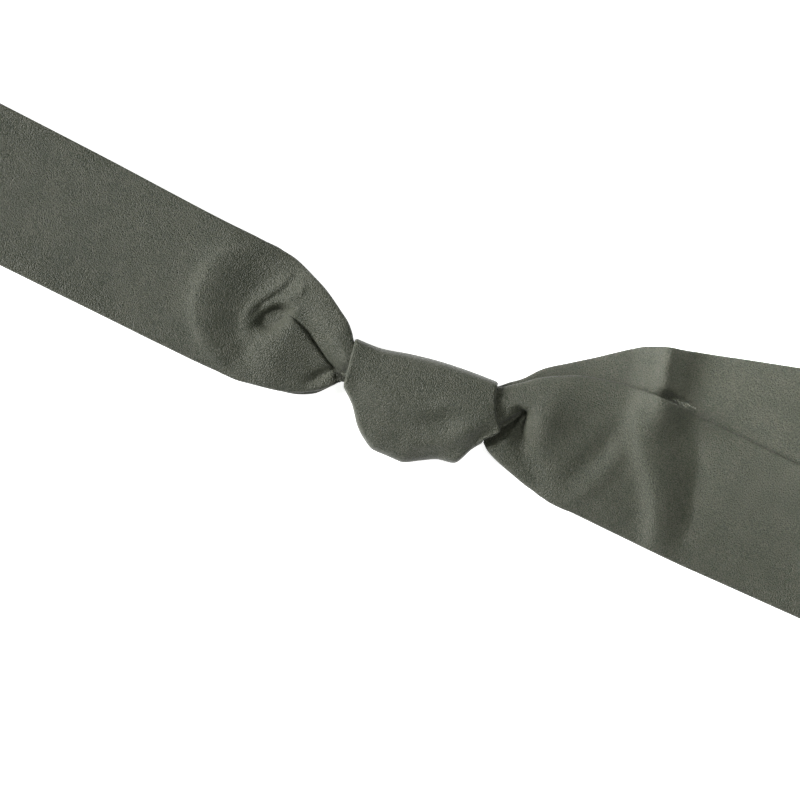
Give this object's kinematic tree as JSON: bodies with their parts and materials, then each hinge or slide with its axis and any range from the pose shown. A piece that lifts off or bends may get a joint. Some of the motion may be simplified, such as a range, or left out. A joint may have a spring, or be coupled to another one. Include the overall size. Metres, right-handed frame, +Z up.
{
  "type": "waist strap",
  "caption": "Soft coated-cloth waist strap tied in a half knot and laid flat: a flattened waist loop on one side and fanned free ends on the other.",
  "frame": {"origin": "on the surface that the strap lies on, under the middle of the knot", "axes": "+X along the strap, from the waist loop towards the free ends; +Y across it, towards the side that the back tail fans to; +Z up"},
  "size_m": [0.6236, 0.1314, 0.0175],
  "materials": {
    "strap_cloth": "dark grey-olive coated cloth with a fine pebbled grain and a low soft sheen"
  },
  "bodies": {
    "root": {"waist_loop": "strap_cloth", "knot_wrap": "strap_cloth", "front_tail": "strap_cloth", "back_tail": "strap_cloth"}
  },
  "joints": []
}
